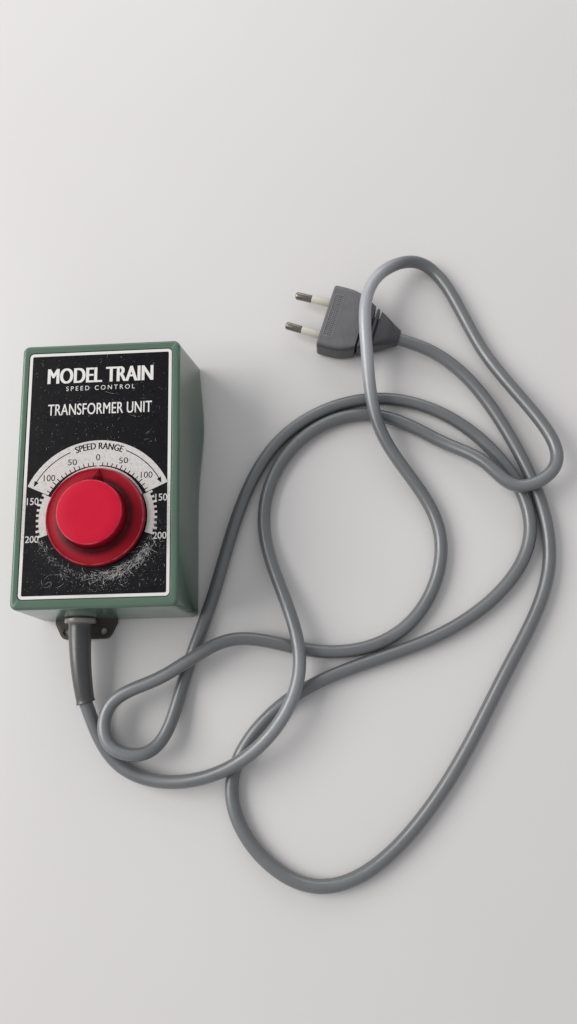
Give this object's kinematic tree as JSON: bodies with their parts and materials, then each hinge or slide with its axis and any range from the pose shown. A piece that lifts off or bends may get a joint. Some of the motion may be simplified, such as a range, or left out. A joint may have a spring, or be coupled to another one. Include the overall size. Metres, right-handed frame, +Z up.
{
  "type": "model train controller",
  "caption": "Moulded box with a printed front plate, a rotary speed knob with a pointer, a base lug, and a grey flex that ends in a flat mains plug.",
  "frame": {"origin": "on the underside of the base plate, below the middle of the front plate", "axes": "+Z up out of the front plate, +Y along the box towards its sloping far wall, the flex leaves towards -Y, +X to the right seen from above"},
  "size_m": [0.258, 0.3091, 0.0575],
  "materials": {
    "housing_green": "smooth moulded green plastic, satin gloss",
    "label_black": "printed black plate with white print and scratches, satin",
    "knob_red": "moulded red plastic, satin",
    "cord_grey": "grey PVC sheath, semi-gloss",
    "plug_grey": "dark grey moulded PVC, fine texture",
    "base_brown": "brown-grey moulded plastic",
    "pin_nickel": "nickel-plated, lightly tarnished",
    "pin_sleeve_beige": "beige plastic sleeve",
    "brass": "machined",
    "steel": "zinc-plated",
    "core_steel": "varnished laminations",
    "copper_wire": "enamelled copper wire",
    "natural_plastic": "uncoloured moulded plastic",
    "board_brown": "paper laminate board",
    "carbon": "pressed carbon",
    "black_plastic": "moulded",
    "lead_red": "PVC insulation",
    "lead_brown": "PVC insulation"
  },
  "bodies": {
    "case": {"housing": "housing_green", "label_plate": "label_black", "base_plate": "base_brown", "base_screw_1": "steel", "base_screw_2": "steel", "base_screw_3": "steel", "base_screw_4": "steel", "cord_sleeve": "cord_grey", "mains_cord": "cord_grey", "cord_tail": "cord_grey", "cord_clamp": "natural_plastic", "clamp_screw_1": "steel", "clamp_screw_2": "steel", "plug_body": "plug_grey", "plug_pin_1": "pin_nickel", "plug_pin_sleeve_1": "pin_sleeve_beige", "plug_pin_2": "pin_nickel", "plug_pin_sleeve_2": "pin_sleeve_beige", "shaft_bush": "brass", "bush_nut": "brass", "board_nut": "brass", "track_board": "board_brown", "contact_track": "brass", "stop_pin_1": "steel", "stop_pin_2": "steel", "transformer_core": "core_steel", "coil_bobbin": "natural_plastic", "primary_winding": "copper_wire", "secondary_winding": "copper_wire", "core_clamp": "steel", "core_screw_1": "steel", "core_screw_2": "steel", "thermal_cutout": "black_plastic", "socket_strip": "black_plastic", "output_socket_1": "brass", "output_socket_2": "brass", "rectifier": "black_plastic", "mains_lead_1": "lead_brown", "mains_lead_2": "cord_grey", "output_lead_1": "lead_red", "output_lead_2": "black_plastic", "track_lead_1": "lead_red", "track_lead_2": "black_plastic"},
    "knob": {"control_knob": "knob_red", "knob_insert": "brass", "knob_set_screw": "steel", "knob_shaft": "steel", "shaft_clip": "steel", "wiper_hub": "natural_plastic", "wiper_arm": "brass", "contact_brush": "carbon"}
  },
  "joints": [
    {"name": "knob_turn", "type": "hinge", "parent": "case", "child": "knob", "pos_m": [0.0003, -0.0216, 0.046], "axis": [0, 0, 1], "range_deg": [-105, 111]}
  ]
}
